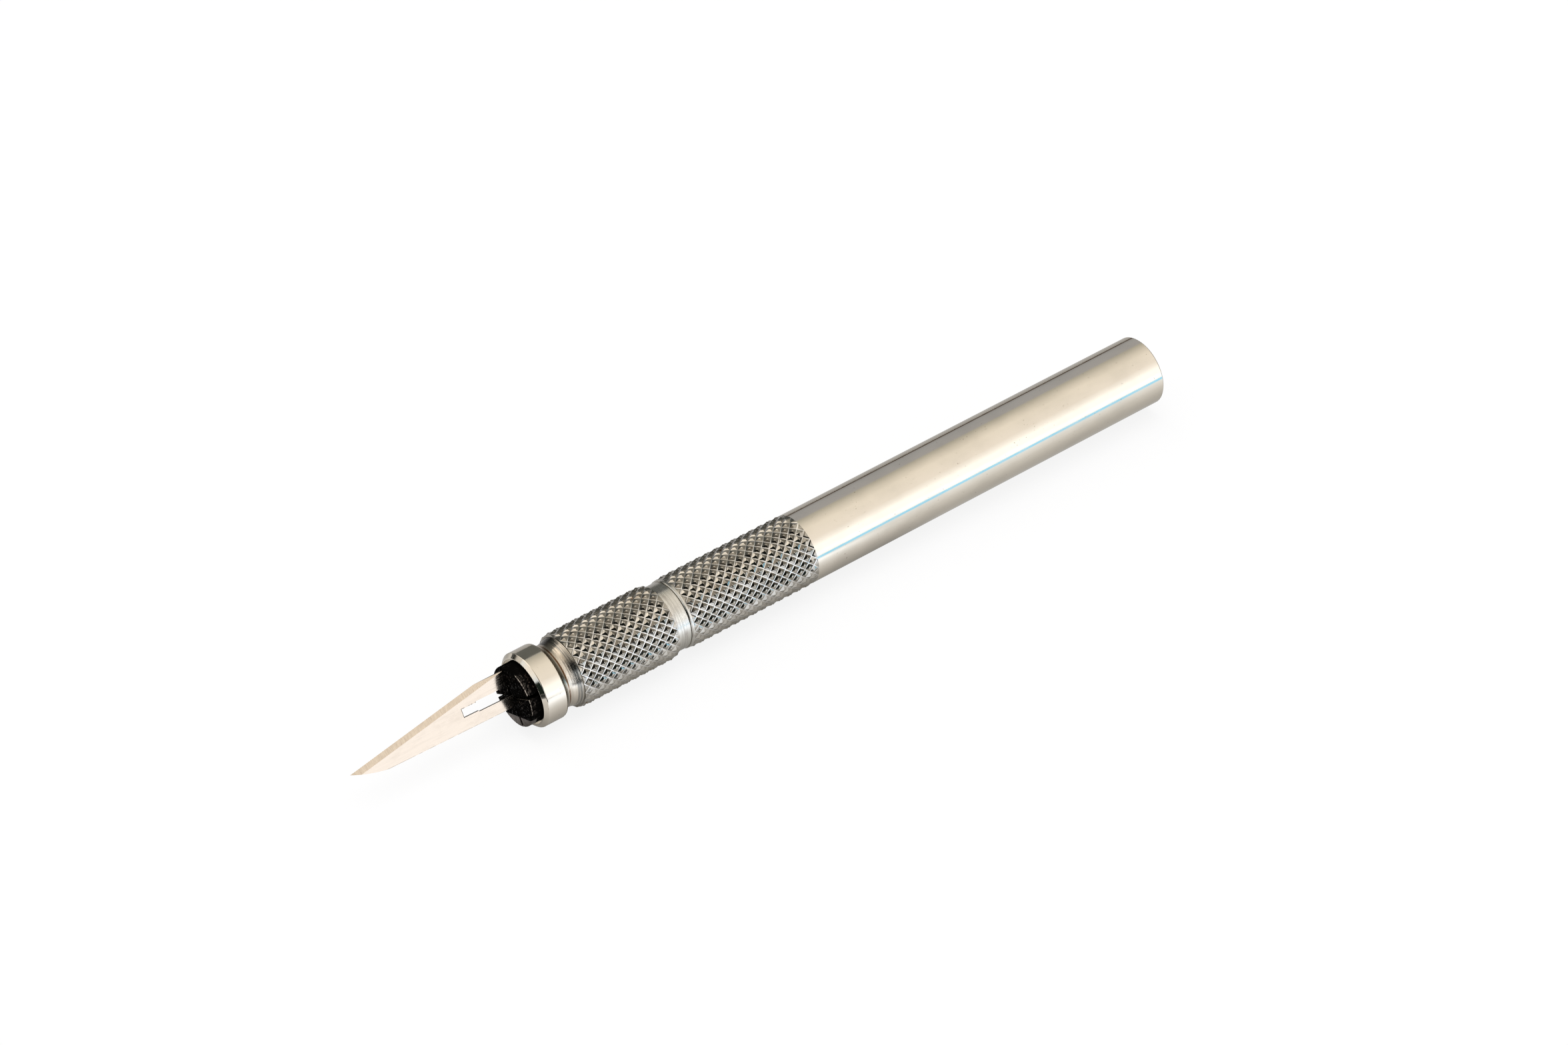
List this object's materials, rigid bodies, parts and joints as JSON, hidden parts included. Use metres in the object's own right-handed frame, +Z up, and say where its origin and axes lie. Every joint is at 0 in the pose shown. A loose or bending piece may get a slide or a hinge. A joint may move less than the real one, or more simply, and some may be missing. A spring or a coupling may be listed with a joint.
{
  "type": "precision craft knife",
  "caption": "Round knurled metal handle with a turning collar and a split chuck that holds a slim pointed blade.",
  "frame": {"origin": "middle of the knife's length and width, on the surface it lies on", "axes": "+X along the axis from the blade towards the butt, +Z up"},
  "size_m": [0.1582, 0.0128, 0.0128],
  "materials": {
    "plated_steel": "polished, lightly stained",
    "blackened_steel": "black oxide, worn",
    "blade_steel": "bright, fine ground"
  },
  "bodies": {
    "handle": {"handle": "plated_steel"},
    "collar": {"collar": "plated_steel"},
    "chuck": {"chuck": "blackened_steel", "blade": "blade_steel"}
  },
  "joints": [
    {"name": "collar_turn", "type": "hinge", "parent": "handle", "child": "collar", "pos_m": [-0.03, 0, 0.00641], "axis": [-1, 0, 0], "range_deg": [0, 540]},
    {"name": "chuck_slide", "type": "slide", "parent": "collar", "child": "chuck", "axis": [-1, 0, 0], "range_m": [0, 0.0016]}
  ],
  "couplings": [
    {"joint": "chuck_slide", "follows": "collar_turn", "m_per_rad": 0.00015915}
  ]
}
